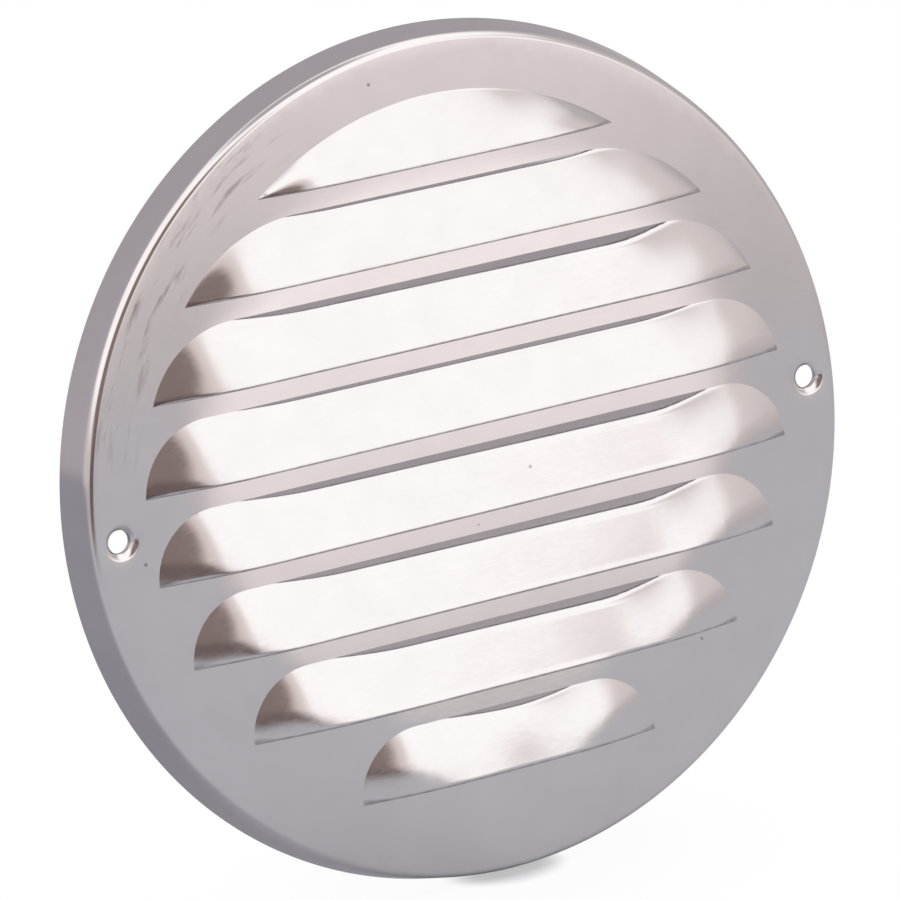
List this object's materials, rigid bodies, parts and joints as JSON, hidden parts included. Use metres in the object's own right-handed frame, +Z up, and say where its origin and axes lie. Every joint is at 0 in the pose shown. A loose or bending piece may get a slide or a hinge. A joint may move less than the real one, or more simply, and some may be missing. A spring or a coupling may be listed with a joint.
{
  "type": "round vent cover",
  "caption": "Round pressed aluminium vent cover with downward louvres across its face, a turned-back rim that sits on the wall and dimpled screw holes at the sides.",
  "frame": {"origin": "centre of the rim's back edge, on the wall plane", "axes": "+Z up when mounted, +X to the right seen from the front, -Y out of the wall towards the viewer"},
  "size_m": [0.1522, 0.0114, 0.1522],
  "materials": {
    "aluminium_sheet": "bright mill finish with fine grain, press marks and light scuffs"
  },
  "bodies": {
    "root": {"vent_cover": "aluminium_sheet"}
  },
  "joints": []
}
